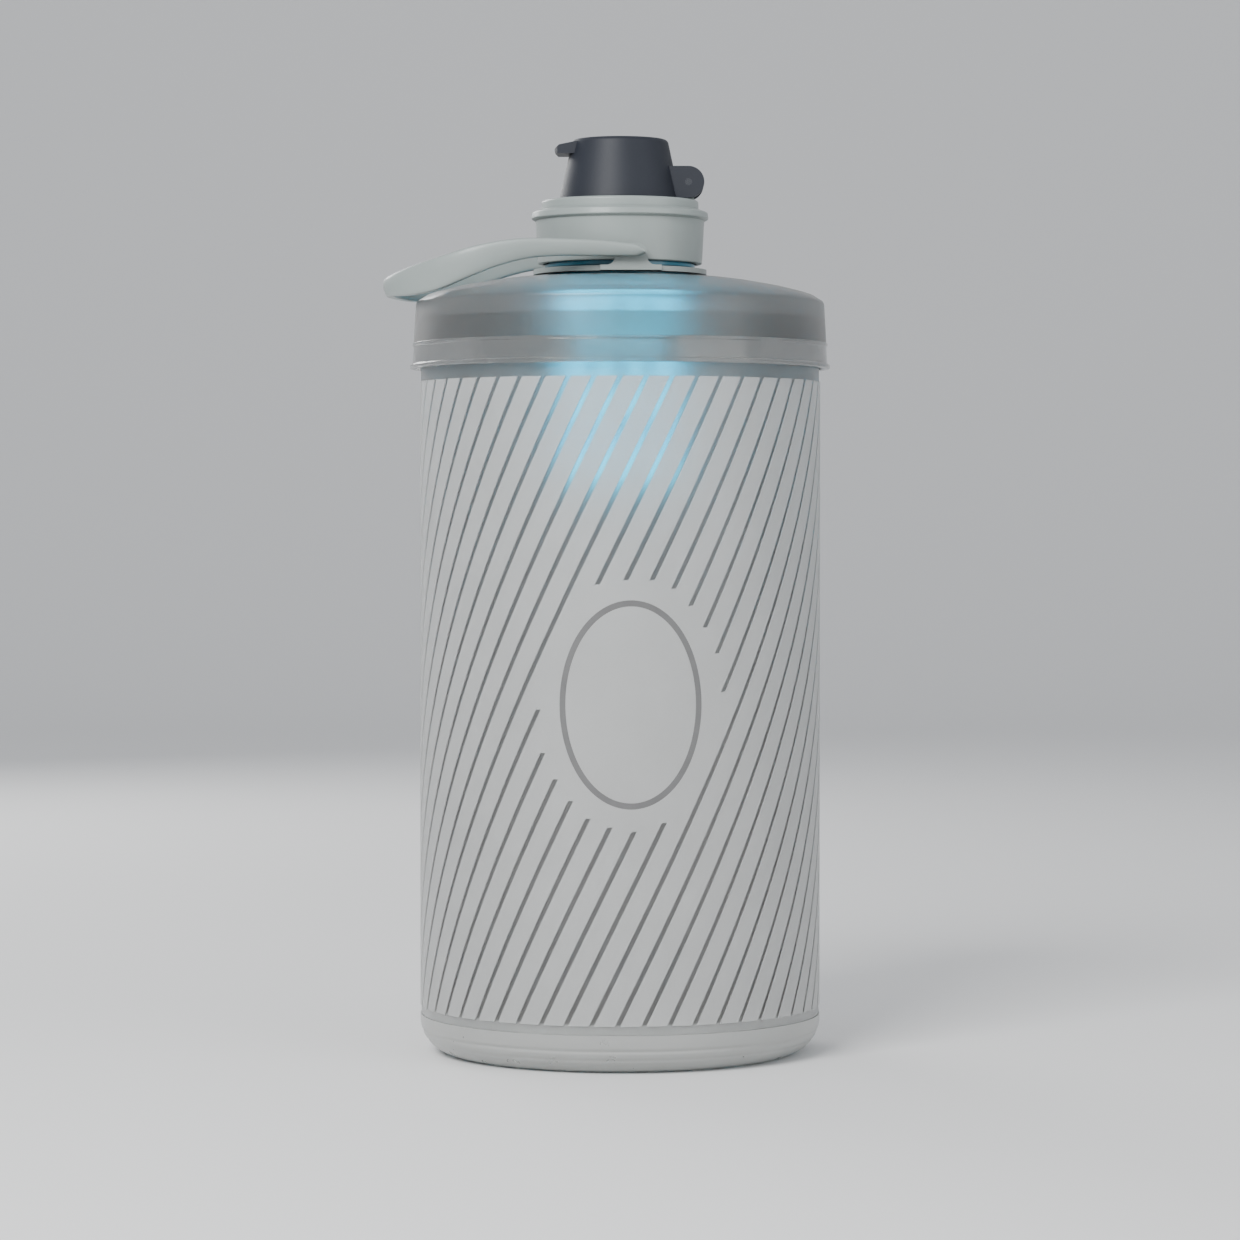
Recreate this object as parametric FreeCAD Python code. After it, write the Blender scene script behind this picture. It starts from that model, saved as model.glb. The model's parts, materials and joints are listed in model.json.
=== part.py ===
"""Folding water bottle with a screw cap that carries a filter cartridge, a flip lid over its
drinking spout, and a carry loop on a collar that swivels round the neck.

The bottle stands on its base at z = 0 with its axis on Z. The front faces -Y, the carry loop
lies towards -X and the lid's hinge is on the +X side. Units are millimetres.

Every piece is one closed solid, in the file parts/NAME.step. Sizes stack up from the table:
base cup, film, shoulder, neck, cap, spout, lid.
"""
import FreeCAD
import Part
import math
import os

os.makedirs("parts", exist_ok=True)

Z_UP = FreeCAD.Vector(0, 0, 1)
Y_BACK = FreeCAD.Vector(0, 1, 0)
ORIGIN = FreeCAD.Vector(0, 0, 0)

# ================================================================ driving dimensions
# Soft body
sleeve_radius = 52.0        # outside of the grip pattern
film_length = 179.8         # from the base cup to the shoulder's ledge
film_wall = 0.8
grip_wall = 0.3             # grip pattern laid on the film
grip_inset_low = 2.2        # clear film below the pattern
grip_inset_high = 16.0      # film above the pattern, most of it inside the skirt
weld_gap = 0.3              # film to the rigid rims it is welded to

# Base cup
base_height = 10.2
base_corner = 9.0           # rounding between the cup's floor and its wall
base_floor = 2.6
spigot_height = 12.0        # thin rim inside the film
spigot_wall = 1.4
pad_radius = 16.0           # flat centre of the underside
foot_width = 3.0            # flat outer ring of the underside
recess_depth = 1.0
recess_ramp = 2.0

# Shoulder and weld hoop
skirt_overlap = 12.6        # skirt outside the film
skirt_wall = 0.7            # under the hoop
skirt_rib = 0.6             # how far the wall stands out just above the hoop
hoop_height = 6.6
hoop_wall = 1.2
shoulder_height = 4.6       # film's top to the dome's edge
shoulder_draft = 0.6
dome_rise = 6.6             # dome's edge to the neck
dome_wall = 1.7
dome_shape = [(0.92, 0.26), (0.80, 0.45), (0.58, 0.70), (0.32, 0.91)]  # shares of span, rise

# Neck
neck_bore = 16.8
neck_wall = 1.8
neck_flange_out = 6.4       # bonded flange beyond the neck's wall
neck_flange_wall = 1.4
bead_out = 0.9
bead_lift = 2.4
bead_height = 0.7

# Thread between neck and cap
thread_pitch = 4.0
thread_turns = 1.5
thread_depth = 1.1
thread_crest = 0.9
thread_root = 1.7
thread_lead_in = 0.65       # plain neck above its thread
thread_foot = 0.15          # plain bore below the cap's thread
thread_bite = 0.25          # how deep the ridge is rooted in its wall
thread_gap = 0.3            # ridge crest to the wall that it runs along

# Screw cap
cap_foot_gap = 0.3          # cap's lower edge over the neck's bead
cap_wall = 1.3
cap_draft = 0.6
cap_lip_out = 1.1
cap_lip_drop = 5.2          # rolled lip below the cap's top, to its lower and upper edges
cap_lip_drop_high = 2.8
cap_band_wall = 0.9
cap_plate = 1.6
seat_side_gap = 0.5         # cap's wall round the cartridge's flange

# Drinking spout
spout_base_radius = 8.2
spout_gap = 0.1
spout_flange_out = 3.3
spout_throat = 7.0
spout_bore = 4.0
spout_height = 11.6
spout_tip_radius = 6.6
spout_rim_radius = 7.4

# Flip lid, its seal and hinge
lid_gap = 0.4
lid_radius_bottom = 15.7
lid_radius_top = 12.4
lid_wall = 1.5
lid_edge = 1.3
seal_radius = 6.2
seal_wall = 2.4
seal_gap = 0.4              # seal's face to the spout's rim
nub_radius = 3.3
nub_draft = 0.6
nub_length = 1.2
hinge_out = 2.0             # pin's axis beyond the lid's lower rim
pin_radius = 0.9
pin_clearance = 0.05
knuckle_wall = 1.55
knuckle_width = 6.0
knuckle_side_gap = 0.3
stem_width = 3.0
ear_wall_round = 3.2        # ear round the pin
ear_thickness = 2.6
ear_lift = 0.5              # ears over the cap's top
tab_reach = 4.9             # thumb tab beyond the lid's top
tab_drop = 1.9
tab_thickness = 2.0
tab_width = 12.0

# Carry collar and loop
collar_gap = 0.4            # collar to the neck
collar_lift = 0.6           # collar over the dome
collar_width = 3.5
collar_height = 1.3
post_gap = 0.3              # post to the cap
post_wall = 2.0
post_centre = 2.8
post_width = 8.2
post_foot = 15.6
post_flare_height = 2.1
post_height = 6.9
boss_lift = 5.1
boss_radius = 1.6
boss_length = 2.2
pivot_clearance = 0.06
loop_gap = 0.4              # loop's arm to the post's face
loop_wall = 3.2
loop_heel = 3.7             # arm beyond its pivot
loop_heel_round = 3.4
loop_overhang = 7.3         # loop's round end beyond the weld hoop
loop_flat_top = 2.2         # arm's edges above and below its pivot
loop_flat_bottom = -1.75
loop_top = [(0.14, 2.2), (0.26, 2.6), (0.46, 2.6), (0.645, 0.4), (0.76, -1.9), (0.88, -4.2),
            (0.99, -6.7), (1.02, -7.6)]                # share of the reach, height
loop_bottom = [(0.14, -1.75), (0.26, -1.7), (0.41, -2.4), (0.53, -4.4), (0.645, -7.2),
               (0.76, -10.0), (0.88, -11.2), (1.02, -10.5)]

# Filter cartridge
seat_gap = 0.05             # cartridge's gasket over the neck's lip
neck_gasket_wall = 0.9
filter_flange_wall = 1.5
filter_flange_out = 0.4     # flange beyond the neck's wall
liner_gap = 0.3             # cap's liner over the flange
liner_wall = 1.55
liner_side_gap = 0.7        # liner to the spout's flange
plug_gap = 0.5              # plug to the neck's bore
plug_length = 16.05
plug_bore = 6.0
plug_crown = 2.0            # hollow over the potting
potting_wall = 2.3
potting_height = 5.5
o_ring_drop = 7.05          # O-ring below the flange
o_ring_section = 0.85
o_ring_gap = 0.1            # O-ring to the neck's bore
o_ring_side_gap = 0.1
cage_step = 0.7             # cage inside the plug's outline
cage_wall = 1.1
cage_length = 48.5
cage_ribs = 12
cage_rows = 3
cage_slot_width = 5.2
cage_band = 3.6             # solid rings between the rows of slots
end_cap_height = 4.0
fibre_gap = 1.3             # bundle to the cage
fibre_foot_gap = 3.0        # bundle's round end to the end cap

# ================================================================ derived sizes
film_radius = sleeve_radius - grip_wall
film_bore = film_radius - film_wall
spigot_radius = film_bore - weld_gap
film_top = base_height + film_length
grip_bottom = base_height + grip_inset_low
grip_top = film_top - grip_inset_high

skirt_bore = sleeve_radius + weld_gap
hoop_inner = skirt_bore + skirt_wall
hoop_radius = hoop_inner + hoop_wall
hoop_bottom = film_top - skirt_overlap
hoop_top = hoop_bottom + hoop_height
skirt_radius = hoop_inner + skirt_rib
ledge_z = film_top + weld_gap
shoulder_edge_radius = skirt_radius - shoulder_draft
shoulder_edge_z = film_top + shoulder_height
dome_top = shoulder_edge_z + dome_rise

neck_radius = neck_bore + neck_wall
neck_flange_radius = neck_radius + neck_flange_out
neck_flange_top = dome_top - dome_wall - 0.1
neck_foot = neck_flange_top - neck_flange_wall
bead_z = dome_top + bead_lift
bead_radius = neck_radius + bead_out
thread_radius = neck_radius + thread_depth
cap_bottom = bead_z + bead_height + cap_foot_gap
cap_thread_start = cap_bottom + thread_foot + thread_root / 2
thread_start = cap_thread_start + thread_pitch / 2
thread_end = thread_start + thread_pitch * thread_turns + thread_root / 2
neck_lip = thread_end + thread_lead_in

flange_bottom = neck_lip + seat_gap + neck_gasket_wall
flange_top = flange_bottom + filter_flange_wall
flange_radius = neck_radius + filter_flange_out
plug_radius = neck_bore - plug_gap
plug_bottom = flange_bottom - plug_length
potting_radius = plug_radius - potting_wall
potting_top = plug_bottom + potting_height
cage_radius = plug_radius - cage_step
cage_bore = cage_radius - cage_wall
cage_bottom = plug_bottom - cage_length
fibre_radius = cage_bore - fibre_gap
o_ring_z = flange_bottom - o_ring_drop
o_ring_ring_radius = neck_bore - o_ring_gap - o_ring_section

cap_bore = thread_radius + thread_gap
cap_radius_bottom = cap_bore + cap_wall
cap_radius_top = cap_radius_bottom + cap_draft
cap_lip_radius = cap_radius_top + cap_lip_out
cap_seat_radius = flange_radius + seat_side_gap
cap_band_radius = cap_seat_radius + cap_band_wall
plate_bottom = flange_top + liner_gap + liner_wall
cap_top = plate_bottom + cap_plate
cap_lip_bottom = cap_top - cap_lip_drop
cap_lip_top = cap_top - cap_lip_drop_high
seat_start = thread_end + thread_gap

spout_hole = spout_base_radius + spout_gap
spout_flange_radius = spout_base_radius + spout_flange_out
spout_top = cap_top + spout_height

lid_bottom = cap_top + lid_gap
lid_inner_top = spout_top + seal_gap + seal_wall
lid_top = lid_inner_top + lid_wall
ear_radius = pin_radius + ear_wall_round
knuckle_radius = pin_radius + pin_clearance + knuckle_wall
hinge_x = lid_radius_bottom + hinge_out
hinge_z = cap_top + ear_lift + ear_radius
ear_start = knuckle_width / 2 + knuckle_side_gap
ear_end = ear_start + ear_thickness
tab_tip = lid_radius_top + tab_reach

collar_bore = neck_radius + collar_gap
collar_radius = collar_bore + collar_width
collar_bottom = dome_top + collar_lift
collar_top = collar_bottom + collar_height
post_inner = cap_radius_top + post_gap
post_outer = post_inner + post_wall
post_top = collar_bottom + post_height
boss_z = collar_bottom + boss_lift
boss_end = post_outer + boss_length
loop_inner = post_outer + loop_gap
loop_outer = loop_inner + loop_wall
loop_tip = hoop_radius + loop_overhang
loop_reach = post_centre + loop_tip
loop_end_centre = loop_outer - loop_tip


# ================================================================ drawing helpers
def rounded(corners):
    """Closed wire in the XZ plane through (x, z) or (x, z, radius) corners."""
    points = [FreeCAD.Vector(c[0], 0, c[1]) for c in corners]
    radii = [c[2] if len(c) > 2 else 0 for c in corners]
    starts, ends, arcs = [], [], []
    for i, point in enumerate(points):
        if not radii[i]:
            starts.append(point)
            ends.append(point)
            arcs.append(None)
            continue
        back = (points[i - 1] - point).normalize()
        ahead = (points[(i + 1) % len(points)] - point).normalize()
        half = back.getAngle(ahead) / 2
        reach = radii[i] / math.tan(half)
        inward = (back + ahead).normalize()
        start = point + back * reach
        end = point + ahead * reach
        middle = point + inward * (radii[i] / math.sin(half) - radii[i])
        starts.append(start)
        ends.append(end)
        arcs.append(Part.Arc(start, middle, end).toShape())
    edges = []
    for i in range(len(points)):
        if arcs[i]:
            edges.append(arcs[i])
        following = starts[(i + 1) % len(points)]
        if (following - ends[i]).Length > 1e-6:
            edges.append(Part.LineSegment(ends[i], following).toShape())
    return Part.Wire(Part.__sortEdges__(edges))


def turned(corners):
    """Solid of revolution about Z from an outline of (radius, z) corners."""
    return Part.Face(rounded(corners)).revolve(ORIGIN, Z_UP, 360)


def ring(inner, outer, low, high):
    return turned([(inner, low), (outer, low), (outer, high), (inner, high)])


def slab(outline, y_low, y_high):
    """Outline in the XZ plane, extruded along Y between two planes."""
    wire = outline if isinstance(outline, Part.Wire) else rounded(outline)
    face = Part.Face(wire)
    face.translate(FreeCAD.Vector(0, y_low, 0))
    return face.extrude(FreeCAD.Vector(0, y_high - y_low, 0))


def rod_y(radius, x, z, y_low, y_high):
    return Part.makeCylinder(radius, y_high - y_low, FreeCAD.Vector(x, y_low, z), Y_BACK)


def mirrored(shape):
    """The shape's copy on the other side of the XZ plane."""
    return shape.mirror(ORIGIN, Y_BACK)


def line(start, end):
    """Straight edge in the XZ plane between two (x, z) points."""
    return Part.LineSegment(FreeCAD.Vector(start[0], 0, start[1]),
                            FreeCAD.Vector(end[0], 0, end[1])).toShape()


def spline(points):
    """Smooth edge in the XZ plane through (x, z) points."""
    curve = Part.BSplineCurve()
    curve.interpolate([FreeCAD.Vector(x, 0, z) for x, z in points])
    return curve.toShape()


def thread_ridge(wall_radius, crest_radius, start):
    """Helical ridge rooted in a wall, a trapezium that narrows towards its crest."""
    outward = 1 if crest_radius > wall_radius else -1
    root = wall_radius - outward * thread_bite
    helix = Part.makeHelix(thread_pitch, thread_pitch * thread_turns, root)
    section = Part.makePolygon([
        FreeCAD.Vector(root, 0, -thread_root / 2),
        FreeCAD.Vector(crest_radius, 0, -thread_crest / 2),
        FreeCAD.Vector(crest_radius, 0, thread_crest / 2),
        FreeCAD.Vector(root, 0, thread_root / 2),
        FreeCAD.Vector(root, 0, -thread_root / 2)])
    ridge = Part.Wire(helix).makePipeShell([section], True, True)
    ridge.translate(FreeCAD.Vector(0, 0, start))
    return ridge


def save(name, shape):
    solids = shape.Solids
    if len(solids) != 1 or not solids[0].isValid():
        raise ValueError(f"{name} is {len(solids)} solids, valid: {[s.isValid() for s in solids]}")
    solids[0].exportStep(f"parts/{name}.step")
    box = solids[0].BoundBox
    print(f"{name:16s} volume {solids[0].Volume:10.1f}  "
          f"x {box.XMin:7.2f} {box.XMax:7.2f}  y {box.YMin:7.2f} {box.YMax:7.2f}  "
          f"z {box.ZMin:7.2f} {box.ZMax:7.2f}")


# ================================================================ soft body
def base_cup():
    """Moulded cup that the bottle stands on; its thin rim is welded inside the film."""
    foot_outer = sleeve_radius - base_corner
    foot_inner = foot_outer - foot_width
    rim_z = base_height - weld_gap
    rim_bore = spigot_radius - spigot_wall
    spigot_top = base_height + spigot_height
    return turned([
        (0, 0),
        (pad_radius, 0),
        (pad_radius + recess_ramp, recess_depth),
        (foot_inner - recess_ramp, recess_depth),
        (foot_inner, 0),
        (sleeve_radius, 0, base_corner),
        (sleeve_radius, rim_z),
        (spigot_radius, rim_z),
        (spigot_radius, spigot_top),
        (rim_bore, spigot_top),
        (rim_bore, base_floor, base_corner - spigot_wall),
        (0, base_floor)])


def sleeve_film():
    return ring(film_bore, film_radius, base_height, film_top)


def grip_pattern():
    return ring(film_radius, sleeve_radius, grip_bottom, grip_top)


# ================================================================ shoulder, hoop and neck
def shoulder():
    """Shallow dome and skirt; the film's top edge sits inside the skirt, under its ledge."""
    span = shoulder_edge_radius - neck_radius
    dome = [(neck_radius + share * span, shoulder_edge_z + rise * dome_rise)
            for share, rise in dome_shape]
    pocket_radius = neck_flange_radius + weld_gap
    underside = [(r, z - dome_wall) for r, z in dome if r > pocket_radius + 1]
    return turned(
        [(neck_radius, neck_flange_top), (neck_radius, dome_top)]
        + list(reversed(dome))
        + [(shoulder_edge_radius, shoulder_edge_z, 1.5),
           (skirt_radius, hoop_top),
           (hoop_inner, hoop_top),
           (hoop_inner, hoop_bottom),
           (skirt_bore, hoop_bottom),
           (skirt_bore, ledge_z),
           (film_bore, ledge_z),
           (film_bore, shoulder_edge_z - dome_wall + 0.4)]
        + underside
        + [(pocket_radius, neck_flange_top)])


def weld_hoop():
    """Clear band shrunk round the skirt where the shoulder and the film overlap."""
    edge = hoop_wall / 4
    return turned([
        (hoop_inner, hoop_bottom),
        (hoop_radius - edge, hoop_bottom),
        (hoop_radius, hoop_bottom + edge),
        (hoop_radius - edge, hoop_top - edge),
        (hoop_radius - 2 * edge, hoop_top),
        (hoop_inner, hoop_top)])


def neck_ring():
    """Rigid threaded neck; its flange is bonded under the dome."""
    tube = turned([
        (neck_bore, neck_foot),
        (neck_flange_radius, neck_foot),
        (neck_flange_radius, neck_flange_top),
        (neck_radius, neck_flange_top),
        (neck_radius, bead_z),
        (bead_radius, bead_z),
        (bead_radius, bead_z + bead_height),
        (neck_radius, bead_z + bead_height),
        (neck_radius, neck_lip),
        (neck_bore, neck_lip)])
    return tube.fuse(thread_ridge(neck_radius, thread_radius, thread_start))


# ================================================================ carry collar and loop
def carry_collar():
    """Flat ring round the neck with a flared post at the front and back, each with a boss."""
    flat = ring(collar_bore, collar_radius, collar_bottom, collar_top)
    left, right = post_centre - post_foot / 2, post_centre + post_foot / 2
    neck_left, neck_right = post_centre - post_width / 2, post_centre + post_width / 2
    foot = [(left, collar_top), (left, collar_bottom), (right, collar_bottom), (right, collar_top)]
    post = slab(foot + [
        (neck_right, collar_top, post_flare_height),
        (neck_right, post_top, post_width / 3),
        (neck_left, post_top, post_width / 8),
        (neck_left, collar_top, post_flare_height)],
        post_inner, post_outer)
    web = slab(foot, collar_bore, post_inner)
    web = web.cut(Part.makeCylinder(collar_bore, collar_top, ORIGIN, Z_UP))
    boss = rod_y(boss_radius, post_centre, boss_z, post_outer, boss_end)
    tab = post.fuse([web, boss])
    return flat.fuse([tab, mirrored(tab)]).removeSplitter()


def loop_plan(half_width, low, height):
    """Block with a round end towards -X, as the loop is seen from above."""
    disc = Part.makeCylinder(half_width, height, FreeCAD.Vector(loop_end_centre, 0, low), Z_UP)
    length = post_centre + loop_heel + 1 - loop_end_centre
    arms = Part.makeBox(length, 2 * half_width, height,
                        FreeCAD.Vector(loop_end_centre, -half_width, low))
    return disc.fuse(arms).removeSplitter()


def carry_loop():
    """U-shaped strap, low and square at its pivots and a tall thin band at its round end."""
    heel = post_centre + loop_heel
    top = [(post_centre - share * loop_reach, boss_z + height) for share, height in loop_top]
    low = [(post_centre - share * loop_reach, boss_z + height) for share, height in loop_bottom]
    round_z = boss_z + loop_flat_top - loop_heel_round
    bulge = loop_heel_round * (1 - math.sqrt(0.5))
    heel_arc = Part.Arc(
        FreeCAD.Vector(heel, 0, round_z),
        FreeCAD.Vector(heel - bulge, 0, boss_z + loop_flat_top - bulge),
        FreeCAD.Vector(heel - loop_heel_round, 0, boss_z + loop_flat_top)).toShape()
    side = Part.Wire(Part.__sortEdges__([
        spline(top),
        spline(low),
        line(top[-1], low[-1]),
        line(low[0], (heel, boss_z + loop_flat_bottom)),
        line((heel, boss_z + loop_flat_bottom), (heel, round_z)),
        heel_arc,
        line((heel - loop_heel_round, boss_z + loop_flat_top), top[0])]))
    band = slab(side, -loop_outer - 1, loop_outer + 1)
    floor = boss_z - 20
    strap = loop_plan(loop_outer, floor, 40).cut(loop_plan(loop_inner, floor, 40)).common(band)
    bore = rod_y(boss_radius + pivot_clearance, post_centre, boss_z, loop_inner - 1,
                 boss_end + loop_gap)
    return strap.cut(bore).cut(mirrored(bore))


# ================================================================ cap and spout
def screw_cap():
    """Cap shell with a rolled lip, an inside thread and a hinge knuckle on its top."""
    lip_base = cap_lip_top + 0.4
    shell = turned([
        (cap_bore, cap_bottom),
        (cap_radius_bottom, cap_bottom, cap_wall / 4),
        (cap_radius_top, cap_lip_bottom),
        (cap_lip_radius - 0.9, cap_lip_bottom),
        (cap_lip_radius, cap_lip_bottom + 0.5, 0.4),
        (cap_lip_radius - 0.2, cap_lip_top - 0.3, 0.5),
        (cap_band_radius + 0.5, lip_base),
        (cap_band_radius, lip_base),
        (cap_band_radius, cap_top, 0.7),
        (spout_hole, cap_top),
        (spout_hole, plate_bottom),
        (cap_seat_radius, plate_bottom),
        (cap_seat_radius, seat_start + cap_bore - cap_seat_radius),
        (cap_bore, seat_start)])
    ridge = thread_ridge(cap_bore, neck_radius + thread_gap, cap_thread_start)
    half = knuckle_width / 2
    stem = slab([
        (hinge_x - stem_width / 2, cap_top - cap_plate / 2),
        (hinge_x + stem_width / 2, cap_top - cap_plate / 2),
        (hinge_x + stem_width / 2, hinge_z),
        (hinge_x - stem_width / 2, hinge_z)], -half, half)
    knuckle = rod_y(knuckle_radius, hinge_x, hinge_z, -half, half)
    hole = rod_y(pin_radius + pin_clearance, hinge_x, hinge_z, -half - 1, half + 1)
    return shell.fuse([ridge, stem.fuse(knuckle).cut(hole)])


def cap_liner():
    """Flat seal between the cap's plate and the cartridge's flange."""
    return ring(spout_flange_radius + liner_side_gap, flange_radius,
                flange_top + liner_gap, plate_bottom)


def drinking_spout():
    """Soft nozzle held by its flange under the cap's plate."""
    return turned([
        (spout_throat, plate_bottom - liner_wall),
        (spout_flange_radius, plate_bottom - liner_wall),
        (spout_flange_radius, plate_bottom),
        (spout_base_radius, plate_bottom),
        (spout_base_radius, cap_top + 0.6, 0.5),
        (spout_tip_radius, spout_top - 3.4, 3.0),
        (spout_rim_radius, spout_top - 1.8, 0.8),
        (spout_rim_radius, spout_top, 0.8),
        (spout_bore, spout_top, 0.5),
        (spout_bore, cap_top + 2.0),
        (spout_throat, cap_top - 1.5)])


# ================================================================ flip lid
def lid_radius(z):
    """Outside radius of the lid's cone at a height."""
    share = (z - lid_bottom) / (lid_top - lid_bottom)
    return lid_radius_bottom + share * (lid_radius_top - lid_radius_bottom)


def flip_lid():
    """Cone with a thumb tab on one side and two hinge ears on the other."""
    outer = turned([
        (0, lid_bottom),
        (lid_radius_bottom, lid_bottom),
        (lid_radius_top, lid_top, lid_edge),
        (0, lid_top)])
    inner = turned([
        (0, lid_bottom - 1),
        (lid_radius(lid_bottom - 1) - lid_wall, lid_bottom - 1),
        (lid_radius(lid_inner_top) - lid_wall, lid_inner_top, 0.8),
        (0, lid_inner_top)])
    tab_root = -lid_radius_top + 4.0
    tab_top = lid_top - tab_drop
    tab_under = tab_top - tab_thickness
    tab = slab([
        (tab_root, lid_top - 0.15),
        (1.6 - tab_tip, tab_top + 0.25),
        (-tab_tip, (tab_top + tab_under) / 2, tab_thickness * 0.3),
        (1.2 - tab_tip, tab_under),
        (tab_root, tab_under)],
        -tab_width / 2, tab_width / 2)
    tab = tab.common(Part.makeCylinder(tab_tip, 30, FreeCAD.Vector(0, 0, lid_top - 20), Z_UP))
    ear_low = hinge_z - ear_radius
    ear_high = hinge_z + ear_radius
    ear_root = lid_radius_bottom - lid_wall - 1.5
    ear = slab([(ear_root, ear_low), (hinge_x, ear_low), (hinge_x, ear_high),
                (ear_root, ear_high)], ear_start, ear_end)
    ear = ear.fuse(rod_y(ear_radius, hinge_x, hinge_z, ear_start, ear_end))
    ear = ear.cut(rod_y(pin_radius, hinge_x, hinge_z, ear_start - 1, ear_end + 1))
    body = outer.fuse([tab, ear, mirrored(ear)])
    return body.cut(inner).removeSplitter()


def lid_seal():
    """Soft disc under the lid with a tapered nub that enters the spout."""
    face_z = spout_top + seal_gap
    nub_z = spout_top - nub_length
    return turned([
        (0, nub_z),
        (nub_radius - nub_draft, nub_z, 0.4),
        (nub_radius, face_z),
        (seal_radius, face_z),
        (seal_radius, lid_inner_top),
        (0, lid_inner_top)])


def hinge_pin():
    return rod_y(pin_radius, hinge_x, hinge_z, -ear_end, ear_end)


# ================================================================ filter cartridge
def filter_head():
    """Plug that fills the neck's bore, hung from its flange, with a groove for the O-ring."""
    groove_half = o_ring_section + o_ring_side_gap
    groove_floor = o_ring_ring_radius - o_ring_section
    return turned([
        (potting_radius, plug_bottom),
        (plug_radius, plug_bottom),
        (plug_radius, o_ring_z - groove_half),
        (groove_floor, o_ring_z - groove_half),
        (groove_floor, o_ring_z + groove_half),
        (plug_radius, o_ring_z + groove_half),
        (plug_radius, flange_bottom),
        (flange_radius, flange_bottom),
        (flange_radius, flange_top),
        (plug_bore, flange_top),
        (plug_bore, potting_top + plug_crown),
        (potting_radius, potting_top + plug_crown)])


def neck_gasket():
    """Flat washer under the cartridge's flange that seals on the neck's lip."""
    return ring(plug_radius, neck_radius, flange_bottom - neck_gasket_wall, flange_bottom)


def filter_o_ring():
    return Part.makeTorus(o_ring_ring_radius, o_ring_section, FreeCAD.Vector(0, 0, o_ring_z), Z_UP)


def fibre_potting():
    return ring(0, potting_radius, plug_bottom, potting_top)


def fibre_bundle():
    """Bundle of hollow fibres, folded over at the bottom."""
    low = cage_bottom + fibre_foot_gap
    return turned([
        (0, low),
        (fibre_radius, low, fibre_radius * 0.6),
        (fibre_radius, plug_bottom),
        (0, plug_bottom)])


def filter_cage():
    """Slotted tube that guards the fibres."""
    tube = ring(cage_bore, cage_radius, cage_bottom, plug_bottom)
    slot_height = (cage_length - cage_band * (cage_rows + 1)) / cage_rows
    slot_depth = cage_wall * 4
    slots = []
    for row in range(cage_rows):
        low = cage_bottom + cage_band + row * (slot_height + cage_band)
        for rib in range(cage_ribs):
            corner = FreeCAD.Vector(cage_radius - slot_depth / 2, -cage_slot_width / 2, low)
            slot = Part.makeBox(slot_depth, cage_slot_width, slot_height, corner)
            slot.rotate(ORIGIN, Z_UP, 360 / cage_ribs * rib)
            slots.append(slot)
    return tube.cut(slots)


def filter_end_cap():
    bottom = cage_bottom - end_cap_height
    return turned([
        (0, bottom),
        (cage_radius, bottom, end_cap_height * 0.7),
        (cage_radius, cage_bottom),
        (0, cage_bottom)])


for make in (base_cup, sleeve_film, grip_pattern, shoulder, weld_hoop, neck_ring,
             carry_collar, carry_loop, screw_cap, cap_liner, drinking_spout, flip_lid,
             lid_seal, hinge_pin, filter_head, neck_gasket, filter_o_ring, fibre_potting,
             fibre_bundle, filter_cage, filter_end_cap):
    save(make.__name__, make())
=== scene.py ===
"""Looks of the folding water bottle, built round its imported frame, from the base upwards."""
import json
import math

import bmesh
import bpy
import numpy as np
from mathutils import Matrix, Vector


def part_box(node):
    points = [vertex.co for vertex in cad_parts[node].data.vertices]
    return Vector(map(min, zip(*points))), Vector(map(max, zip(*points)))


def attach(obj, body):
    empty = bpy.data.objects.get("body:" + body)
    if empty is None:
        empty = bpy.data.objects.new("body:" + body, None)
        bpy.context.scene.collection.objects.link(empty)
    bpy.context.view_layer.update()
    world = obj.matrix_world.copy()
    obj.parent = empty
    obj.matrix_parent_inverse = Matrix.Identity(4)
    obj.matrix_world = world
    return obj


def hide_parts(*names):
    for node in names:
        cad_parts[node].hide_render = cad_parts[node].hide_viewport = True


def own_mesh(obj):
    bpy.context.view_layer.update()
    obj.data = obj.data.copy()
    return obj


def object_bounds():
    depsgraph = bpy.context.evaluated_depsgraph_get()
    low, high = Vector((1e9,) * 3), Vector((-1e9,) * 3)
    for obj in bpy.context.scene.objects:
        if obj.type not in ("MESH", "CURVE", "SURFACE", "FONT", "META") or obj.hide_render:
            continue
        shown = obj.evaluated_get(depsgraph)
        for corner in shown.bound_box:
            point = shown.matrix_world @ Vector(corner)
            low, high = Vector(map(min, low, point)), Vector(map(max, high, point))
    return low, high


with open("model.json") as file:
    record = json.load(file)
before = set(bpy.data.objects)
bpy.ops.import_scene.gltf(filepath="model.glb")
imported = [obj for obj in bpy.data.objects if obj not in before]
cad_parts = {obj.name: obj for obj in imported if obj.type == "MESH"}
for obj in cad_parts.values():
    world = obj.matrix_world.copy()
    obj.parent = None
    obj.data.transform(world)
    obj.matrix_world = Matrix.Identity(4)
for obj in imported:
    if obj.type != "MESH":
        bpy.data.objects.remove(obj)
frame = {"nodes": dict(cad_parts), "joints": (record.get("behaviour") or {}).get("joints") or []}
cad_low, cad_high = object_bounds()
MM = 0.001


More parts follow.
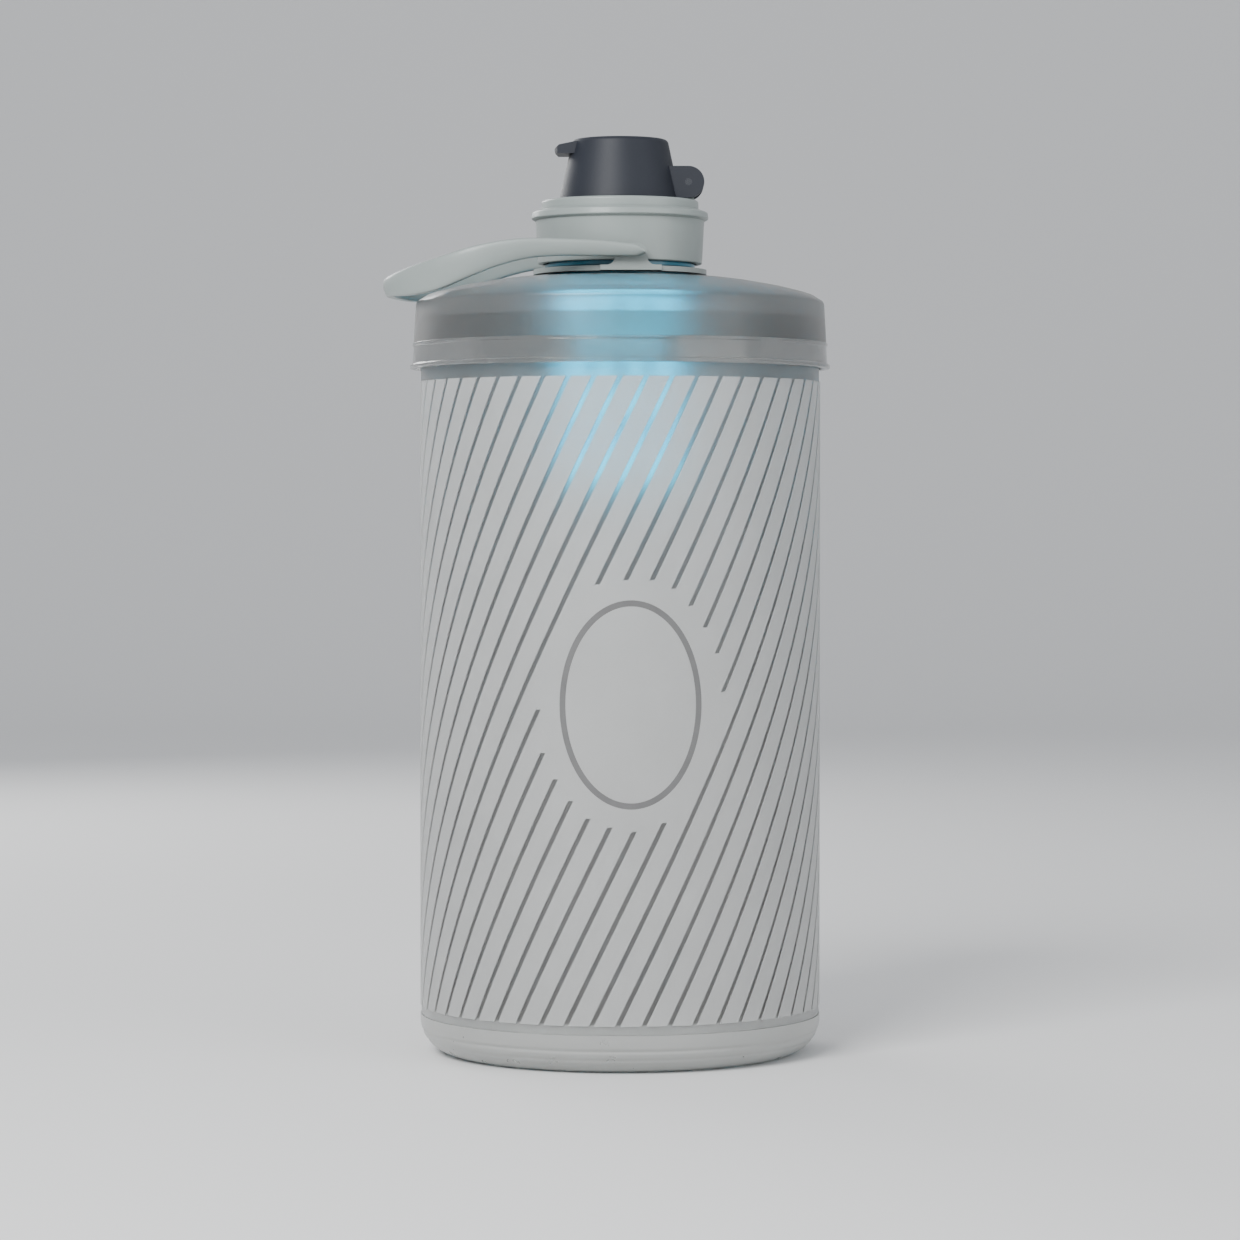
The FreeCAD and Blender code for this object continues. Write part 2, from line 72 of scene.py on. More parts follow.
# ---------------------------------------------------------------- base cup
# The cup that the bottle stands on is moulded in frosted, smoky TPU. Two soft grooves run round
# its rounded corner, and its thin rim is welded inside the film.
def outline(*corners, arc_step=7):
    """Points of a closed outline through (radius, z) or (radius, z, rounding) corners.

    A rounding has a point about every arc_step degrees.
    """
    points = []
    for i, (x, z, *rounding) in enumerate(corners):
        here = Vector((x, z))
        if not rounding:
            points.append(here)
            continue
        arc = rounding[0]
        back = (Vector(corners[i - 1][:2]) - here).normalized()
        ahead = (Vector(corners[(i + 1) % len(corners)][:2]) - here).normalized()
        half = back.angle(ahead) / 2
        centre = here + (back + ahead).normalized() * arc / math.sin(half)
        start = here + back * arc / math.tan(half) - centre
        end = here + ahead * arc / math.tan(half) - centre
        steps = max(4, round(start.angle(end) / math.radians(arc_step)))
        for step in range(steps + 1):
            points.append(centre + start.lerp(end, step / steps).normalized() * arc)
    return points


def new_piece(name, vertices, faces, finish, smooth_angle=35):
    """Smooth-shaded mesh object at the origin, whose edges stay sharp past smooth_angle."""
    mesh = bpy.data.meshes.new(name)
    mesh.from_pydata([tuple(v) for v in vertices], [], faces)
    mesh.validate()
    mesh.materials.append(finish)
    mesh.shade_smooth()
    mesh.set_sharp_from_angle(angle=math.radians(smooth_angle))
    piece = bpy.data.objects.new(name, mesh)
    bpy.context.scene.collection.objects.link(piece)
    return piece


def turned(name, points, finish, segments=192):
    """Solid of revolution about Z from a closed outline, with single points at its poles."""
    area = sum(a.x * b.y - b.x * a.y for a, b in zip(points, points[1:] + points[:1]))
    if area < 0:
        points = points[::-1]
    vertices, rows = [], []
    for point in points:
        on_axis = point.x < 0.001 * MM
        count = 1 if on_axis else segments
        rows.append([len(vertices) + i for i in range(count)])
        for i in range(count):
            angle = 2 * math.pi * i / segments
            vertices.append((point.x * math.cos(angle), point.x * math.sin(angle), point.y))
    faces = []
    for low, high in zip(rows, rows[1:] + rows[:1]):
        if len(low) == 1 and len(high) == 1:
            continue
        for i in range(segments):
            j = (i + 1) % segments
            quad = [low[i % len(low)], low[j % len(low)], high[j % len(high)], high[i % len(high)]]
            faces.append(list(dict.fromkeys(quad)))
    return new_piece(name, vertices, faces, finish)


class Value:
    """A socket of a node tree. Arithmetic on it adds the tree's Math nodes."""

    def __init__(self, tree, socket):
        self.tree = tree
        self.socket = socket

    def __add__(self, other):
        return self.tree.maths("ADD", self, other)

    __radd__ = __add__

    def __mul__(self, other):
        return self.tree.maths("MULTIPLY", self, other)

    __rmul__ = __mul__

    def __sub__(self, other):
        return self.tree.maths("SUBTRACT", self, other)

    def __rsub__(self, other):
        return self.tree.maths("SUBTRACT", other, self)

    def __truediv__(self, other):
        return self.tree.maths("DIVIDE", self, other)


class Tree:
    """A node tree that is written one node at a time."""

    def __init__(self, tree):
        self.tree = tree

    def add(self, kind, settings=None, sockets=None, output=0):
        """Adds a node: its settings first, then the values or links of its sockets."""
        node = self.tree.nodes.new(kind)
        for key, value in (settings or {}).items():
            setattr(node, key, value)
        for key, value in (sockets or {}).items():
            if isinstance(value, Value):
                self.tree.links.new(value.socket, node.inputs[key])
            else:
                node.inputs[key].default_value = value
        return Value(self, node.outputs[output])

    def maths(self, operation, *terms):
        """Math node on its terms, in their order."""
        return self.add("ShaderNodeMath", {"operation": operation}, dict(enumerate(terms)))


class Finish(Tree):
    """A material with one Principled BSDF, whose patterns lie in the piece's own space."""

    def __init__(self, name):
        self.material = bpy.data.materials.new(name)
        self.material.use_nodes = True
        super().__init__(self.material.node_tree)
        self.surface = self.tree.nodes["Principled BSDF"]
        self.place = self.add("ShaderNodeTexCoord", output="Object")

    def noise(self, size, detail=3, stretch=(1, 1, 1)):
        """Noise from 0 to 1 whose grains are about size metres across."""
        place = self.add("ShaderNodeMapping", {}, {"Vector": self.place, "Scale": stretch})
        return self.add("ShaderNodeTexNoise", {}, {
            "Vector": place, "Scale": 1 / size, "Detail": detail, "Roughness": 0.6})

    def blend(self, share, first, second):
        """Colour between two colours, which are a Mix node's sockets 6 and 7."""
        return self.add("ShaderNodeMix", {"data_type": "RGBA"},
                        {"Factor": share, 6: first, 7: second}, output=2)

    def bump(self, height, depth):
        """Normal of a surface whose height from 0 to 1 is worth a depth in metres."""
        return self.add("ShaderNodeBump", {}, {
            "Height": height, "Distance": depth, "Strength": 1.0})

    def wear(self, **sockets):
        """Sets the shader's sockets, with their names' spaces as underscores."""
        for key, value in sockets.items():
            socket = self.surface.inputs[key.replace("_", " ")]
            if isinstance(value, Value):
                self.tree.links.new(value.socket, socket)
            else:
                socket.default_value = value
        return self.material


def grey(level, warmth=0.0, green=0.0):
    """Colour near grey: warmth moves it from blue to red, and green lifts its green."""
    return (level * (1 + warmth), level * (1 + green), level * (1 - warmth), 1)


TPU_IOR = 1.42


def frosted(name, tint, clear, rough, grain, depth=0.012 * MM):
    """Frosted TPU: tinted, cloudy, with the fine orange peel that its mould leaves."""
    finish = Finish(name)
    cloud = finish.noise(9 * MM, detail=4)
    peel = finish.noise(grain, detail=2)
    cloud_lift = 1.12
    light = tuple(min(1, c * cloud_lift) for c in tint[:3]) + (1,)
    return finish.wear(
        Base_Color=finish.blend(cloud, tint, light),
        Roughness=rough + 0.1 * cloud,
        Transmission_Weight=clear,
        IOR=TPU_IOR,
        Normal=finish.bump(peel, depth))


def groove(points, height, depth, width, bore):
    """The outline with a soft groove at a height, in its wall outside the bore."""
    sunk = []
    for point in points:
        share = math.exp(-((point.y - height) / width) ** 2) if point.x > bore else 0
        sunk.append(Vector((point.x - depth * share, point.y)))
    return sunk


_, base_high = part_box("base_cup")
film_low, film_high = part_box("sleeve_film")
base_outer = base_high.x
base_corner = 9 * MM
base_wall = 1.4 * MM
base_floor = 2.6 * MM
base_rim_z = film_low.z - 0.08 * MM
spigot_outer = film_high.x - 1.1 * MM
base_inner = spigot_outer - base_wall
base_foot = base_outer - base_corner
foot_width = 3 * MM
pad_radius = 16 * MM
recess = 1 * MM
base_points = outline(
    (0, 0), (pad_radius, 0), (pad_radius + 2 * recess, recess),
    (base_foot - foot_width - 2 * recess, recess), (base_foot - foot_width, 0),
    (base_outer, 0, base_corner), (base_outer, base_rim_z), (spigot_outer, base_rim_z),
    (spigot_outer, base_high.z), (base_inner, base_high.z),
    (base_inner, base_floor, base_corner - base_wall), (0, base_floor), arc_step=1.5)
base_points = groove(base_points, 6.0 * MM, depth=0.3 * MM, width=0.4 * MM, bore=base_inner)
base_points = groove(base_points, 3.7 * MM, depth=0.2 * MM, width=0.35 * MM, bore=base_inner)
base_finish = frosted("base_tpu", grey(0.60, 0.01, 0.02), 0.55, 0.24, 1.3 * MM)
base = turned("base_shell", base_points, base_finish)
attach(base, "base")
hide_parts("base_cup")


# ---------------------------------------------------------------- sleeve
# A tube of smoky, frosted TPU film, with a grip pattern of matt bands laid on it. The bands
# wind round the tube with narrow clear gaps between them, and leave a plain oval at the front.
class Geometry(Tree):
    """A Geometry Nodes tree with named inputs, run once on an empty mesh."""

    def __init__(self, name, **inputs):
        self.group = bpy.data.node_groups.new(name, "GeometryNodeTree")
        self.group.interface.new_socket(
            "Geometry", in_out="OUTPUT", socket_type="NodeSocketGeometry")
        self.values = inputs
        kinds = {int: "NodeSocketInt", float: "NodeSocketFloat",
                 bpy.types.Material: "NodeSocketMaterial"}
        for key, value in inputs.items():
            self.group.interface.new_socket(
                key.replace("_", " "), in_out="INPUT", socket_type=kinds[type(value)])
        super().__init__(self.group)
        self.entry = self.group.nodes.new("NodeGroupInput")

    def given(self, name):
        """One of the tree's named inputs."""
        return Value(self, self.entry.outputs[name.replace("_", " ")])

    def vector(self, x, y, z):
        """Vector with three parts."""
        return self.add("ShaderNodeCombineXYZ", {}, {"X": x, "Y": y, "Z": z})

    def place(self):
        """The point's own X, Y and Z."""
        position = self.add("GeometryNodeInputPosition")
        return [self.add("ShaderNodeSeparateXYZ", {}, {"Vector": position}, output=i)
                for i in range(3)]

    def run(self, name, geometry, *, wall=0.0, smooth_angle=35):
        """Plain mesh object that the tree makes, at the origin, with a wall where one is asked."""
        real = self.add("GeometryNodeRealizeInstances", {}, {"Geometry": geometry})
        done = self.add("GeometryNodeSetMaterial", {},
                        {"Geometry": real, "Material": self.given("Finish")})
        exit_node = self.group.nodes.new("NodeGroupOutput")
        self.group.links.new(done.socket, exit_node.inputs[0])
        piece = bpy.data.objects.new(name, bpy.data.meshes.new(name))
        bpy.context.scene.collection.objects.link(piece)
        maker = piece.modifiers.new("maker", "NODES")
        maker.node_group = self.group
        for item in self.group.interface.items_tree:
            if item.in_out == "INPUT":
                maker[item.identifier] = self.values[item.name.replace(" ", "_")]
        if wall:
            shell = piece.modifiers.new("wall", "SOLIDIFY")
            shell.thickness = wall
            shell.offset = -1
        evaluated = piece.evaluated_get(bpy.context.evaluated_depsgraph_get())
        made = bpy.data.meshes.new_from_object(evaluated)
        piece.modifiers.clear()
        piece.data = made
        made.name = name
        made.shade_smooth()
        made.set_sharp_from_angle(angle=math.radians(smooth_angle))
        return piece


collapse = next(j for j in frame["joints"] if j["name"] == "collapse")
film_length = film_high.z - film_low.z
folded_share = 1 + collapse["range_m"][0] / film_length
film_wall = 0.8 * MM
film_bore = film_high.x - film_wall
film_points = outline((film_bore, film_low.z), (film_high.x, film_low.z),
                      (film_high.x, film_high.z), (film_bore, film_high.z))
weld_height = 2.2 * MM


def welded_film():
    """Smoky film, which turns milky where it is welded to the cup's rim."""
    finish = Finish("film_tpu")
    height = finish.add("ShaderNodeSeparateXYZ", {}, {"Vector": finish.place}, output=2)
    milky = finish.add("ShaderNodeMapRange", {"interpolation_type": "SMOOTHSTEP"}, {
        "Value": height, "From Min": film_low.z + weld_height,
        "From Max": film_low.z + 1.3 * weld_height, "To Min": 1.0, "To Max": 0.0})
    cloud = finish.noise(9 * MM, detail=4)
    smoky = finish.blend(cloud, grey(0.50, 0.01, 0.01), grey(0.57, 0.01, 0.01))
    return finish.wear(
        Base_Color=finish.blend(milky, smoky, grey(0.93, 0.0, 0.01)),
        Roughness=0.26 + 0.1 * cloud + 0.2 * milky,
        Transmission_Weight=0.9,
        IOR=TPU_IOR,
        Normal=finish.bump(finish.noise(2.2 * MM, detail=2), 0.012 * MM))


film = turned("film_tube", film_points, welded_film(), segments=256)

band_low, band_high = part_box("grip_pattern")
band_radius = band_high.x
band_wall = 0.27 * MM
lean = 0.49                 # how far a band moves sideways for its rise
oval_x, oval_z = 2.8 * MM, 92.4 * MM
oval_half_width, oval_half_height = 24 * MM, 31.5 * MM


def band_winding(finish):
    """Flat grid of bands by height, with the gaps cut out, wound on to the sleeve.

    The last of each band's columns is its gap, except in the bare oval.
    """
    tree = Geometry("band_winding", Bands=50, Columns=5, Rows=150, Radius=band_radius,
                    Low=band_low.z, High=band_high.z, Lean=lean, Oval_X=oval_x, Oval_Z=oval_z,
                    Oval_Half_Width=oval_half_width, Oval_Half_Height=oval_half_height,
                    Finish=finish)
    bands, columns, radius = tree.given("Bands"), tree.given("Columns"), tree.given("Radius")
    low, high = tree.given("Low"), tree.given("High")
    grid = tree.add("GeometryNodeMeshGrid", {}, {
        "Size X": bands, "Size Y": high - low,
        "Vertices X": bands * columns + 1, "Vertices Y": tree.given("Rows") + 1})
    across, along, _ = tree.place()
    z = along + (low + high) * 0.5
    angle = across / bands * (2 * math.pi) + (z - tree.given("Oval_Z")) * tree.given("Lean") / radius
    column = tree.maths("FLOORED_MODULO", across * columns, columns)
    in_gap = tree.maths("GREATER_THAN", column, columns - 1)
    side = (angle * radius - tree.given("Oval_X")) / tree.given("Oval_Half_Width")
    rise = (z - tree.given("Oval_Z")) / tree.given("Oval_Half_Height")
    outside = tree.maths("GREATER_THAN", side * side + rise * rise, 1)
    cut = tree.add("GeometryNodeDeleteGeometry", {"domain": "FACE"},
                   {"Geometry": grid, "Selection": in_gap * outside})
    wound = tree.add("GeometryNodeSetPosition", {}, {
        "Geometry": cut,
        "Position": tree.vector(radius * tree.maths("SINE", angle),
                                0 - radius * tree.maths("COSINE", angle), z)})
    closed = tree.add("GeometryNodeMergeByDistance", {}, {"Geometry": wound, "Distance": 0.02 * MM})
    return tree.run("grip_bands", closed, wall=band_wall)


def matt_band():
    """Pale, mottled TPU with a fine leather grain."""
    finish = Finish("grip_bands")
    mottle = finish.noise(14 * MM, detail=5)
    leather = finish.noise(0.9 * MM, detail=2)
    return finish.wear(
        Base_Color=finish.blend(mottle, grey(0.63, 0.0, 0.015), grey(0.72, 0.0, 0.01)),
        Roughness=0.4 + 0.12 * mottle,
        Transmission_Weight=0.55,
        IOR=TPU_IOR,
        Normal=finish.bump(leather, 0.04 * MM))


def dark_print():
    """Dark grey ink."""
    finish = Finish("oval_line")
    return finish.wear(
        Base_Color=finish.blend(finish.noise(5 * MM), grey(0.10), grey(0.15)), Roughness=0.45)


line_half_width, line_half_height = 0.72 * oval_half_width, 0.80 * oval_half_height
line_width = 1.5 * MM
line_proud = 0.02 * MM
line_sunk = 0.1 * MM


def oval_line(finish, steps=144):
    """Plain closed line inside the bare oval: a thin strip that follows the sleeve."""
    section = [(-0.5, -line_sunk), (0.5, -line_sunk), (0.5, line_proud), (-0.5, line_proud)]
    vertices, faces = [], []
    for step in range(steps):
        turn = 2 * math.pi * step / steps
        across, up = math.cos(turn), math.sin(turn)
        out = Vector((across * line_half_height, up * line_half_width)).normalized()
        for side, lift in section:
            arc = oval_x + across * line_half_width + out.x * side * line_width
            z = oval_z + up * line_half_height + out.y * side * line_width
            angle = arc / band_radius
            radius = band_radius + lift
            vertices.append((radius * math.sin(angle), -radius * math.cos(angle), z))
    for step in range(steps):
        here, following = 4 * step, 4 * ((step + 1) % steps)
        for i in range(4):
            j = (i + 1) % 4
            faces.append([here + i, following + i, following + j, here + j])
    return new_piece("oval_line", vertices, faces, finish)


grip = band_winding(matt_band())
oval = oval_line(dark_print())
for piece, slot in ((film, "film_tpu"), (grip, "grip_bands"), (oval, "grip_bands")):
    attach(piece, "sleeve")
    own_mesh(piece)
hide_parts("sleeve_film")
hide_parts("grip_pattern")


# ---------------------------------------------------------------- shoulder
# The shallow dome and skirt are one moulding of frosted TPU with a soft rounded edge. A clear
# hoop is shrunk round the skirt where it is welded to the film.
_, shoulder_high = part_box("shoulder")
hoop_low, hoop_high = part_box("weld_hoop")
hoop_wall = 1.2 * MM
hoop_inner = hoop_high.x - hoop_wall
skirt_outer = shoulder_high.x
skirt_bore = hoop_inner - 0.7 * MM
dome_top = shoulder_high.z
dome_rise = 6.6 * MM
dome_wall = 1.7 * MM
edge_z = dome_top - dome_rise
edge_radius = skirt_outer - 0.6 * MM
edge_rounding = 1.5 * MM
neck_radius = 18.6 * MM
dome_span = edge_radius - neck_radius
dome_bow = [(0.32, 0.91), (0.45, 0.82), (0.58, 0.70), (0.70, 0.58), (0.80, 0.45), (0.87, 0.35),
            (0.92, 0.26)]       # shares of the dome's span and rise
dome = [(neck_radius + share * dome_span, edge_z + lift * dome_rise) for share, lift in dome_bow]
pocket = 25.3 * MM              # the neck's flange is bonded in a pocket under the dome
pocket_z = dome_top - dome_wall - 0.1 * MM
under_dome = [(r, z - dome_wall) for r, z in dome if r > pocket + 1 * MM]
ledge_z = film_high.z + 0.3 * MM
shoulder_points = outline(
    *([(neck_radius, pocket_z), (neck_radius, dome_top)] + dome
      + [(edge_radius, edge_z, edge_rounding), (skirt_outer, hoop_high.z), (hoop_inner, hoop_high.z),
         (hoop_inner, hoop_low.z), (skirt_bore, hoop_low.z), (skirt_bore, ledge_z),
         (film_bore, ledge_z), (film_bore, edge_z - dome_wall + 0.4 * MM)]
      + under_dome[::-1] + [(pocket, pocket_z)]))
shoulder_finish = frosted("shoulder_tpu", grey(0.47, 0.03, 0.005), 0.95, 0.28, 1.6 * MM)
shoulder = turned("shoulder_shell", shoulder_points, shoulder_finish, segments=256)
hoop_bead = 0.32 * MM
hoop_points = outline(
    (hoop_inner, hoop_low.z), (hoop_high.x + hoop_bead, hoop_low.z, hoop_bead),
    (hoop_high.x + hoop_bead, hoop_low.z + 3 * hoop_bead, hoop_bead),
    (hoop_high.x - hoop_bead, hoop_low.z + 4 * hoop_bead),
    (hoop_high.x - 2 * hoop_bead, hoop_high.z - 3 * hoop_bead),
    (hoop_high.x - hoop_bead, hoop_high.z - 2 * hoop_bead, hoop_bead / 2),
    (hoop_high.x - hoop_bead, hoop_high.z, hoop_bead / 2), (hoop_inner, hoop_high.z))
hoop_finish = frosted("clear_hoop", grey(0.87, 0.0, 0.01), 0.96, 0.08, 1.6 * MM, depth=0.005 * MM)
hoop = turned("clear_hoop", hoop_points, hoop_finish, segments=256)
for piece, node in ((shoulder, "shoulder"), (hoop, "weld_hoop")):
    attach(piece, "shoulder")
    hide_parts(node)


# ---------------------------------------------------------------- neck
# The threaded neck is moulded in deep teal nylon, and its flange is bonded under the dome.
def moulded(name, colour, rough, coat=0.0, shine=0.5):
    """Moulded plastic: a faint change of tone, and the fine texture of its mould."""
    finish = Finish(name)
    tone = finish.noise(12 * MM, detail=3)
    fine = finish.noise(0.5 * MM, detail=2)
    shade = 0.85
    dark = tuple(c * shade for c in colour[:3]) + (1,)
    return finish.wear(
        Base_Color=finish.blend(tone, dark, colour),
        Roughness=rough + 0.08 * fine,
        Coat_Weight=coat,
        Specular_IOR_Level=shine,
        Normal=finish.bump(fine, 0.012 * MM))


def refinish(node, material):
    """Gives a kept node its material."""
    for slot in frame["nodes"][node].material_slots:
        slot.material = material


teal = moulded("neck_teal", (0.002, 0.19, 0.29, 1), 0.3, coat=0.3)
refinish("neck_ring", teal)


# ---------------------------------------------------------------- carry collar and loop
# The collar turns round the neck and has a flared post at the front and back. The loop's arms
# hang on the posts' bosses. Both are moulded in pale warm grey nylon, the loop with soft edges.
pale = moulded("pale_grey", (0.285, 0.325, 0.312, 1), 0.36, coat=0.12)
refinish("carry_collar", pale)
loop_low, loop_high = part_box("carry_loop")
collar_low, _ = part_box("carry_collar")
pivot_x = 2.8 * MM
pivot_z = collar_low.z + 5.1 * MM
loop_outer = loop_high.y
loop_wall = 3.2 * MM
loop_heel = pivot_x + 3.6 * MM
loop_reach = pivot_x - loop_low.x
loop_turn_x = loop_low.x + loop_outer
strap_squareness = 5
strap_lean = 0.45

# The strap's two edges: share of the reach from the pivot, and height over the pivot in mm.
edge_tops = [(-0.057, -0.4), (-0.035, 0.8), (0.02, 1.5), (0.10, 2.1), (0.26, 2.6), (0.46, 2.6),
             (0.645, 0.4), (0.76, -1.9), (0.88, -4.2), (0.99, -6.7), (1.02, -7.6)]
edge_lows = [(-0.057, -1.0), (-0.035, -1.6), (0.03, -1.75), (0.14, -1.75), (0.26, -1.7),
             (0.41, -2.4), (0.53, -4.4), (0.645, -7.2), (0.76, -10.0), (0.88, -11.2), (1.02, -10.5)]


def edge_height(edge, x):
    """Height of the loop's edge at x, on a smooth line through the edge's points."""
    share = (pivot_x - x) / loop_reach
    shares, heights = zip(*edge)
    slopes = np.gradient(heights, shares)
    i = min(max(int(np.searchsorted(shares, share)) - 1, 0), len(shares) - 2)
    width = shares[i + 1] - shares[i]
    t = min(max((share - shares[i]) / width, 0), 1)
    ease = 3 * t * t - 2 * t * t * t
    bend = width * (slopes[i] * t * (1 - t) ** 2 - slopes[i + 1] * t * t * (1 - t))
    return pivot_z + (heights[i] + (heights[i + 1] - heights[i]) * ease + bend) * MM


def strap_section(ring):
    """Square section with soft corners, from -1 to 1, whose outside leans in below its middle."""
    section = []
    for i in range(ring):
        angle = 2 * math.pi * i / ring
        side, lift = (math.copysign(abs(part) ** (2 / strap_squareness), part)
                      for part in (math.cos(angle), math.sin(angle)))
        if side > 0 > lift:
            side *= 1 + strap_lean * lift
        section.append((side, lift))
    return section


def strap_loop(finish, turns=64, arm_steps=40, ring=28):
    """U-shaped strap: a section that follows two arms and the round end between them."""
    middle = loop_outer - loop_wall / 2
    arm = [loop_heel + (loop_turn_x - loop_heel) * i / arm_steps for i in range(arm_steps)]
    path = [((x, -middle), (0, -1)) for x in arm]
    for i in range(turns + 1):
        angle = math.pi * i / turns
        out = (-math.sin(angle), -math.cos(angle))
        path.append(((loop_turn_x + out[0] * middle, out[1] * middle), out))
    path += [((x, middle), (0, 1)) for x in reversed(arm)]
    section = strap_section(ring)
    vertices = []
    for (x, y), out in path:
        top, low = edge_height(edge_tops, x), edge_height(edge_lows, x)
        for side, lift in section:
            reach = side * loop_wall / 2
            z = (top + low) / 2 + lift * (top - low) / 2
            vertices.append((x + out[0] * reach, y + out[1] * reach, z))
    faces = [list(range(ring)), [len(vertices) - 1 - i for i in range(ring)]]
    for row in range(len(path) - 1):
        for i in range(ring):
            j = (i + 1) % ring
            a, b = row * ring, (row + 1) * ring
            faces.append([a + i, b + i, b + j, a + j])
    piece = new_piece("carry_strap", vertices, faces, finish, smooth_angle=50)
    turn = bmesh.new()
    turn.from_mesh(piece.data)
    bmesh.ops.recalc_face_normals(turn, faces=turn.faces)
    turn.to_mesh(piece.data)
    turn.free()
    return piece


strap = strap_loop(pale)
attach(strap, "handle")
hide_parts("carry_loop")


# ---------------------------------------------------------------- filter cartridge
# A plug with an O-ring and a gasket fills the neck. Under it a slotted cage guards a bundle of
# hollow fibres, whose ends are set in resin.
def blue_with_painted_glow():
    """Clear cyan plastic with a painted glow: it gives off cyan light of its own, though it is no
    lamp.
    """
    finish = Finish("filter_blue")
    tone = finish.noise(6 * MM)
    return finish.wear(
        Base_Color=finish.blend(tone, (0.02, 0.5, 0.75, 1), (0.04, 0.62, 0.85, 1)),
        Roughness=0.4,
        # Painted glow: the filter's plastic gives off cyan light, though it is no lamp.
        Emission_Color=(0.0, 0.45, 0.72, 1),
        Emission_Strength=7.8)


filter_blue = blue_with_painted_glow()
soft_silicone = moulded("soft_silicone", grey(0.6, 0.01, 0.0), 0.55)
o_ring_black = moulded("o_ring_black", grey(0.02), 0.45)
resin = moulded("potting_resin", (0.75, 0.68, 0.5, 1), 0.25, coat=0.3)
fibre_white = moulded("fibre_white", grey(0.85, 0.02), 0.6)
for node in ("filter_head", "filter_cage", "filter_end_cap"):
    refinish(node, filter_blue)
refinish("neck_gasket", soft_silicone)
refinish("filter_o_ring", o_ring_black)
refinish("fibre_potting", resin)

golden_angle = math.radians(137.508)
bundle_bow = 25.0           # how fast the bundle's foot rises with the square of the radius
strand_ends = 1.5 * MM      # how far the strands' feet differ at random


def fibre_strands(finish):
    """Bundle of hollow fibres: one thin tube at each point of a sunflower spiral."""
    low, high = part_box("fibre_bundle")
    tree = Geometry("fibre_strands", Strands=240, Bundle_Radius=high.x - 0.7 * MM, Low=low.z,
                    High=high.z, Strand_Radius=0.4 * MM, Bow=bundle_bow, Ends=strand_ends,
                    Seed=7, Finish=finish)
    index = tree.add("GeometryNodeInputIndex")
    share = (index + 0.5) / tree.given("Strands")
    radius = tree.maths("SQRT", share) * tree.given("Bundle_Radius")
    turn = index * golden_angle
    uneven = tree.add("FunctionNodeRandomValue", {"data_type": "FLOAT"},
                      {"ID": index, "Seed": tree.given("Seed")}, output=1)
    foot = tree.given("Low") + radius * radius * tree.given("Bow") + uneven * tree.given("Ends")
    length = tree.given("High") - foot
    points = tree.add("GeometryNodePoints", {}, {
        "Count": tree.given("Strands"),
        "Position": tree.vector(radius * tree.maths("COSINE", turn),
                                radius * tree.maths("SINE", turn), foot + length * 0.5)})
    strand = tree.add("GeometryNodeMeshCylinder", {}, {
        "Vertices": 6, "Radius": tree.given("Strand_Radius"), "Depth": 1.0})
    placed = tree.add("GeometryNodeInstanceOnPoints", {}, {
        "Points": points, "Instance": strand, "Scale": tree.vector(1.0, 1.0, length)})
    return tree.run("fibre_strands", placed, smooth_angle=50)


fibres = fibre_strands(fibre_white)
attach(fibres, "filter")
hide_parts("fibre_bundle")


# ---------------------------------------------------------------- screw cap, liner and spout
# The cap is turned by its smooth wall under a rolled lip. A soft spout stands in its plate,
# and its hinge knuckle carries the lid.
refinish("screw_cap", pale)
refinish("cap_liner", soft_silicone)
spout_finish = frosted("spout_silicone", grey(0.7, 0.0, 0.0), 0.2, 0.4, 0.8 * MM)
refinish("drinking_spout", spout_finish)


# ---------------------------------------------------------------- flip lid
# A cone of dark slate plastic with a thumb tab on one side and hinge ears on the other. Its
# seal presses on the spout's rim, and a blackened steel pin holds it to the cap.
slate = moulded("lid_slate", (0.015, 0.018, 0.026, 1), 0.5, shine=0.36)
refinish("flip_lid", slate)
refinish("lid_seal", soft_silicone)


def blackened_steel():
    """Dark steel, drawn along the pin."""
    finish = Finish("pin_steel")
    drawn = finish.noise(0.4 * MM, stretch=(1, 8, 1))
    return finish.wear(
        Base_Color=(0.09, 0.095, 0.105, 1), Metallic=0.8, Roughness=0.22 + 0.1 * drawn)


refinish("hinge_pin", blackened_steel())


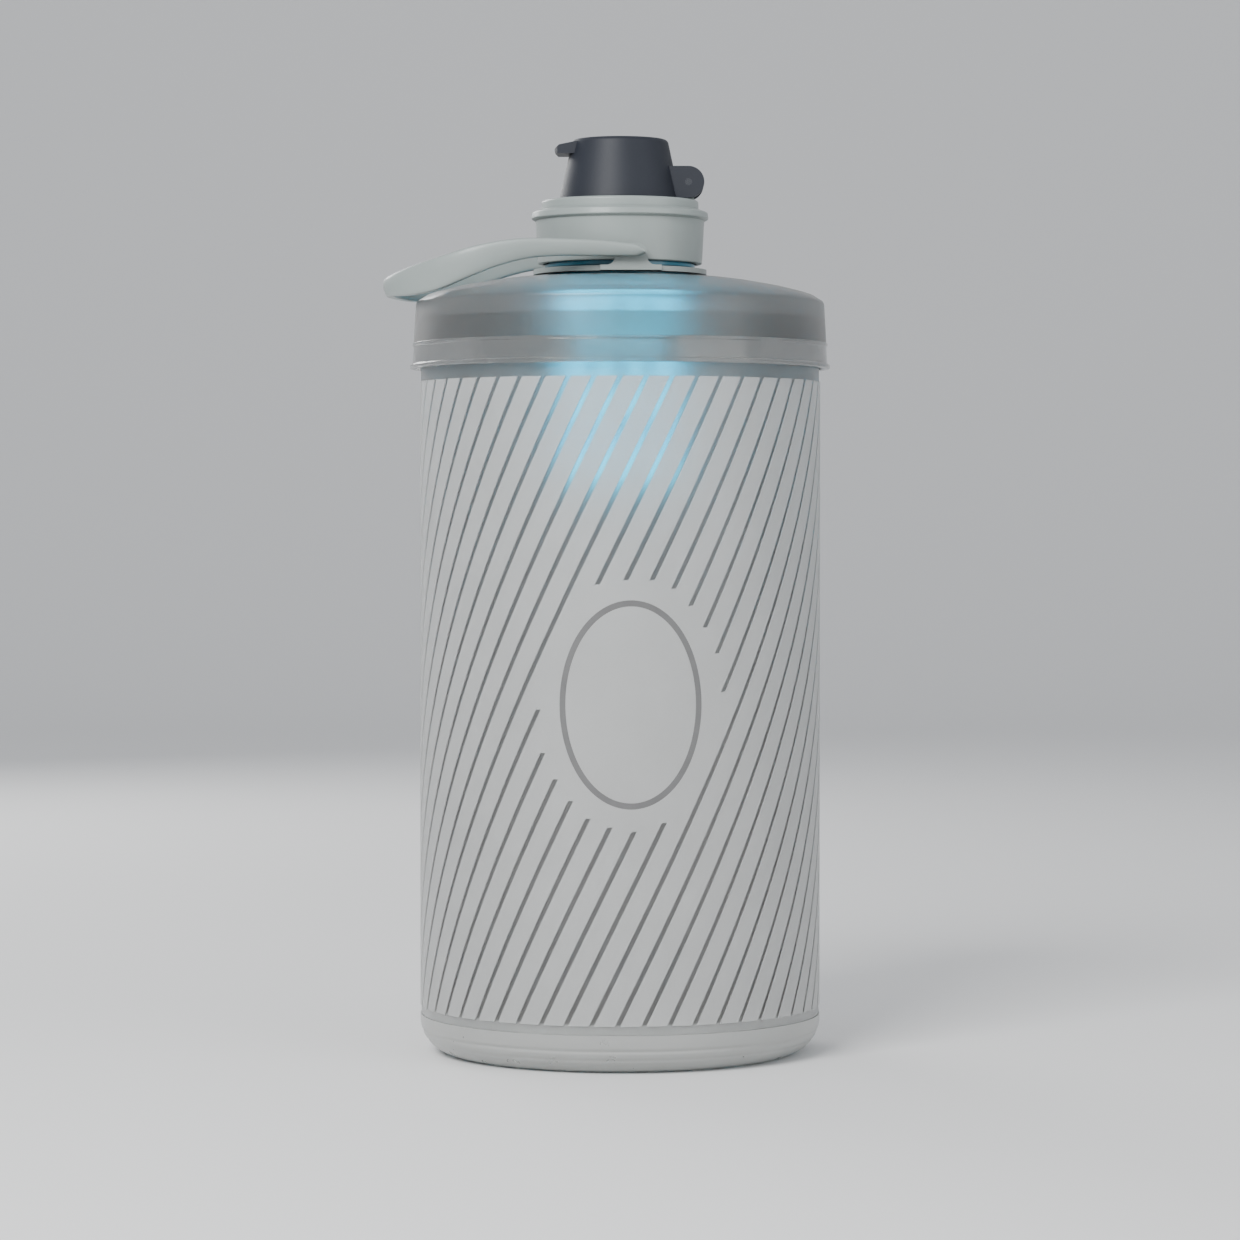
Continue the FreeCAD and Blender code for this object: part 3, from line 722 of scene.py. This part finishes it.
# ---------------------------------------------------------------- floor, lights and camera
# A pale sweep under the bottle, a large soft key from the upper left, a fill and a rim light.
def studio_floor(half_width=3.0, front=-2.5, back=1.6, bend=0.8, top=2.6):
    """Pale sweep: a floor that curves up into a wall behind the bottle."""
    section = [(front, 0.0), (back, 0.0)]
    for angle in (math.radians(degrees) for degrees in range(6, 91, 6)):
        section.append((back + bend * math.sin(angle), bend - bend * math.cos(angle)))
    section.append((back + bend, top))
    vertices = [(x, y, z - 0.05 * MM) for x in (-half_width, half_width) for y, z in section]
    count = len(section)
    faces = [[i, i + count, i + count + 1, i + 1] for i in range(count - 1)]
    sweep = Finish("studio_sweep")
    return new_piece("studio_sweep", vertices, faces, sweep.wear(
        Base_Color=(0.8, 0.8, 0.79, 1), Roughness=0.8), smooth_angle=60)


def aimed(name, data, place, target):
    """Object for a light or camera at a place, turned to look at a target."""
    looker = bpy.data.objects.new(name, data)
    looker.location = place
    looker.rotation_euler = (Vector(target) - Vector(place)).to_track_quat("-Z", "Y").to_euler()
    bpy.context.scene.collection.objects.link(looker)
    return looker


def area_light(name, place, target, size, power):
    """Rectangular lamp of a size in metres and a power in watts."""
    light = bpy.data.lights.new(name, "AREA")
    light.shape = "RECTANGLE"
    light.size, light.size_y = size
    light.energy = power
    aimed(name, light, place, target)


studio_floor()
middle = (0, 0, cad_high.z / 2)
area_light("key", (-0.5, -1.0, 0.85), middle, (0.6, 0.6), 21)
area_light("fill", (0.95, -0.75, 0.4), middle, (0.9, 0.9), 5)
area_light("back", (-0.55, 0.9, 0.55), middle, (0.6, 0.4), 5)
world = bpy.data.worlds.new("studio")
world.use_nodes = True
sky = world.node_tree.nodes["Background"]
sky.inputs["Color"].default_value = (0.9, 0.93, 1, 1)
sky.inputs["Strength"].default_value = 0.62
bpy.context.scene.world = world

camera_distance = 1.06
camera_height = 138.2 * MM
target_height = 112.2 * MM
lens = bpy.data.cameras.new("camera")
lens.sensor_width = 36
lens.lens = 118.2
bpy.context.scene.camera = aimed(
    "camera", lens, (0, -camera_distance, camera_height), (0, 0, target_height))
